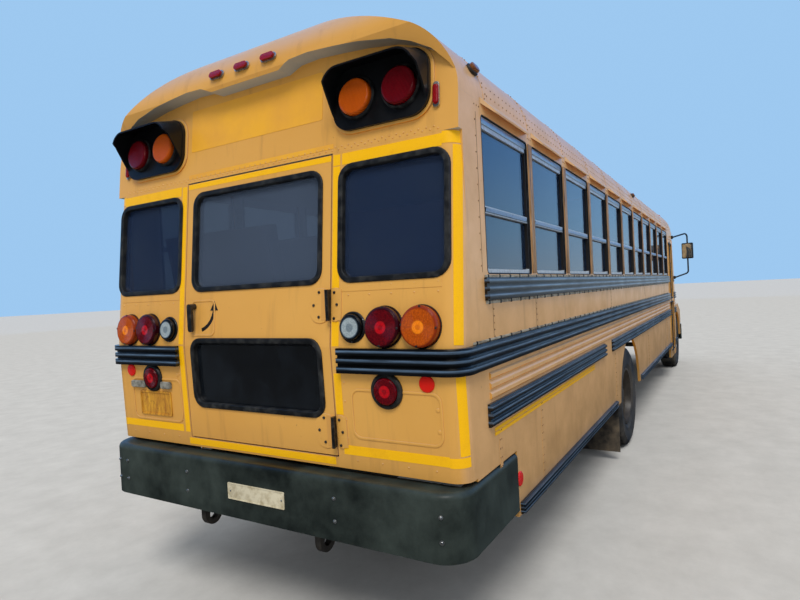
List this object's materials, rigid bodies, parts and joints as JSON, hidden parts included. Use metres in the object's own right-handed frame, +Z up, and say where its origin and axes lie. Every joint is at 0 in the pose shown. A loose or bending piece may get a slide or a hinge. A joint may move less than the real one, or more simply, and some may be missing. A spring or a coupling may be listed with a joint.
{
  "type": "conventional school bus",
  "caption": "Full-size hooded school bus with a rear emergency door, split entry door, tilting hood and twin rear wheels.",
  "frame": {"origin": "on the ground, midway between the bumpers on the bus's middle line", "axes": "+X forward, +Y to the driver's (left) side, +Z up"},
  "size_m": [11.6048, 3.1386, 3.253],
  "materials": {
    "yellow_paint": "sun-faded yellow enamel",
    "black_paint": "weathered black enamel",
    "black_chassis": "dusty black chassis paint",
    "bare_aluminium": "dulled mill finish",
    "bare_steel": "heat-browned steel",
    "cast_grey": "oily casting",
    "dark_hardware": "worn black hardware",
    "tyre_rubber": "dusty rubber",
    "black_rubber": "matt rubber",
    "tinted_glass": "dark tint",
    "clear_glass": "clear",
    "red_lens": "moulded lens",
    "amber_lens": "moulded lens",
    "clear_lens": "moulded lens",
    "seat_vinyl": "grained vinyl",
    "dash_plastic": "grained plastic",
    "stop_red": "red reflective sheet",
    "hatch_white": "yellowed moulding"
  },
  "bodies": {
    "bus": {"roof": "yellow_paint", "rear_roof_cap": "yellow_paint", "front_roof_cap": "yellow_paint", "left_wall": "yellow_paint", "right_wall": "yellow_paint", "skirts": "yellow_paint", "rear_wall": "yellow_paint", "cowl": "yellow_paint", "floor": "black_chassis", "step_well": "black_chassis", "floor_sills": "black_chassis", "window_brows": "yellow_paint", "seat_legs": "black_chassis", "window_sashes": "bare_aluminium", "side_glass": "tinted_glass", "windshield": "clear_glass", "rub_rails": "black_paint", "lamp_pods": "black_paint", "red_lamps": "red_lens", "amber_lamps": "amber_lens", "clear_lamps": "clear_lens", "rear_bumper": "black_paint", "front_bumper": "black_paint", "frame_rails": "black_chassis", "leaf_springs": "black_chassis", "rear_axle": "black_chassis", "front_axle": "black_chassis", "engine_block": "cast_grey", "driveline": "cast_grey", "fuel_tank": "black_chassis", "exhaust": "bare_steel", "mud_flaps": "black_rubber", "mirrors": "black_paint", "passenger_seats": "seat_vinyl", "driver_seat": "seat_vinyl", "dashboard": "dash_plastic"},
    "emergency_door_body": {"emergency_door": "yellow_paint", "emergency_door_glass": "tinted_glass", "emergency_door_hardware": "dark_hardware"},
    "entry_leaf_rear": {"entry_door_rear": "yellow_paint", "entry_glass_rear": "tinted_glass"},
    "entry_leaf_front": {"entry_door_front": "yellow_paint", "entry_glass_front": "tinted_glass"},
    "nose": {"hood": "yellow_paint", "grille": "black_paint", "headlamps": "clear_lens"},
    "stop_blade": {"stop_arm": "stop_red"},
    "hatch_lid_rear": {"roof_hatch_rear": "hatch_white"},
    "hatch_lid_front": {"roof_hatch_front": "hatch_white"},
    "steer_left": {"knuckle_left": "black_chassis"},
    "steer_right": {"knuckle_right": "black_chassis"},
    "wheel_front_left": {"front_tyre_left": "tyre_rubber", "front_rim_left": "black_paint"},
    "wheel_front_right": {"front_tyre_right": "tyre_rubber", "front_rim_right": "black_paint"},
    "wheels_rear_left": {"rear_tyres_left": "tyre_rubber", "rear_rims_left": "black_paint"},
    "wheels_rear_right": {"rear_tyres_right": "tyre_rubber", "rear_rims_right": "black_paint"}
  },
  "joints": [
    {"name": "steer_left_pin", "type": "hinge", "parent": "bus", "child": "steer_left", "pos_m": [4.7625, 0.88, 0.525], "axis": [0, 0, 1], "range_deg": [-38, 38]},
    {"name": "steer_right_pin", "type": "hinge", "parent": "bus", "child": "steer_right", "pos_m": [4.7625, -0.88, 0.525], "axis": [0, 0, 1], "range_deg": [-38, 38]},
    {"name": "front_wheel_left_spin", "type": "hinge", "parent": "steer_left", "child": "wheel_front_left", "pos_m": [4.7625, 1.03, 0.525], "axis": [0, 1, 0], "continuous": true},
    {"name": "front_wheel_right_spin", "type": "hinge", "parent": "steer_right", "child": "wheel_front_right", "pos_m": [4.7625, -1.03, 0.525], "axis": [0, 1, 0], "continuous": true},
    {"name": "rear_wheels_left_spin", "type": "hinge", "parent": "bus", "child": "wheels_rear_left", "pos_m": [-1.3875, 0.8875, 0.525], "axis": [0, 1, 0], "continuous": true},
    {"name": "rear_wheels_right_spin", "type": "hinge", "parent": "bus", "child": "wheels_rear_right", "pos_m": [-1.3875, -0.8875, 0.525], "axis": [0, 1, 0], "continuous": true},
    {"name": "emergency_door_hinge", "type": "hinge", "parent": "bus", "child": "emergency_door_body", "pos_m": [-5.7515, -0.538, 1.7], "axis": [0, 0, 1], "range_deg": [0, 110]},
    {"name": "entry_leaf_rear_hinge", "type": "hinge", "parent": "bus", "child": "entry_leaf_rear", "pos_m": [3.1125, -1.219, 1.4], "axis": [0, 0, -1], "range_deg": [0, 90]},
    {"name": "entry_leaf_front_hinge", "type": "hinge", "parent": "bus", "child": "entry_leaf_front", "pos_m": [3.8565, -1.219, 1.4], "axis": [0, 0, 1], "range_deg": [0, 90]},
    {"name": "hood_tilt", "type": "hinge", "parent": "bus", "child": "nose", "pos_m": [5.6475, 0, 0.82], "axis": [0, 1, 0], "range_deg": [0, 65]},
    {"name": "stop_arm_pivot", "type": "hinge", "parent": "bus", "child": "stop_blade", "pos_m": [2.8325, 1.276, 1.622], "axis": [0, 0, -1], "range_deg": [0, 90]},
    {"name": "roof_hatch_rear_hinge", "type": "hinge", "parent": "bus", "child": "hatch_lid_rear", "pos_m": [-2.7945, 0, 3.22], "axis": [0, 1, 0], "range_deg": [0, 80]},
    {"name": "roof_hatch_front_hinge", "type": "hinge", "parent": "bus", "child": "hatch_lid_front", "pos_m": [1.8375, 0, 3.22], "axis": [0, 1, 0], "range_deg": [0, 80]}
  ],
  "couplings": [
    {"joint": "steer_right_pin", "follows": "steer_left_pin", "ratio": 1},
    {"joint": "entry_leaf_front_hinge", "follows": "entry_leaf_rear_hinge", "ratio": 1}
  ]
}
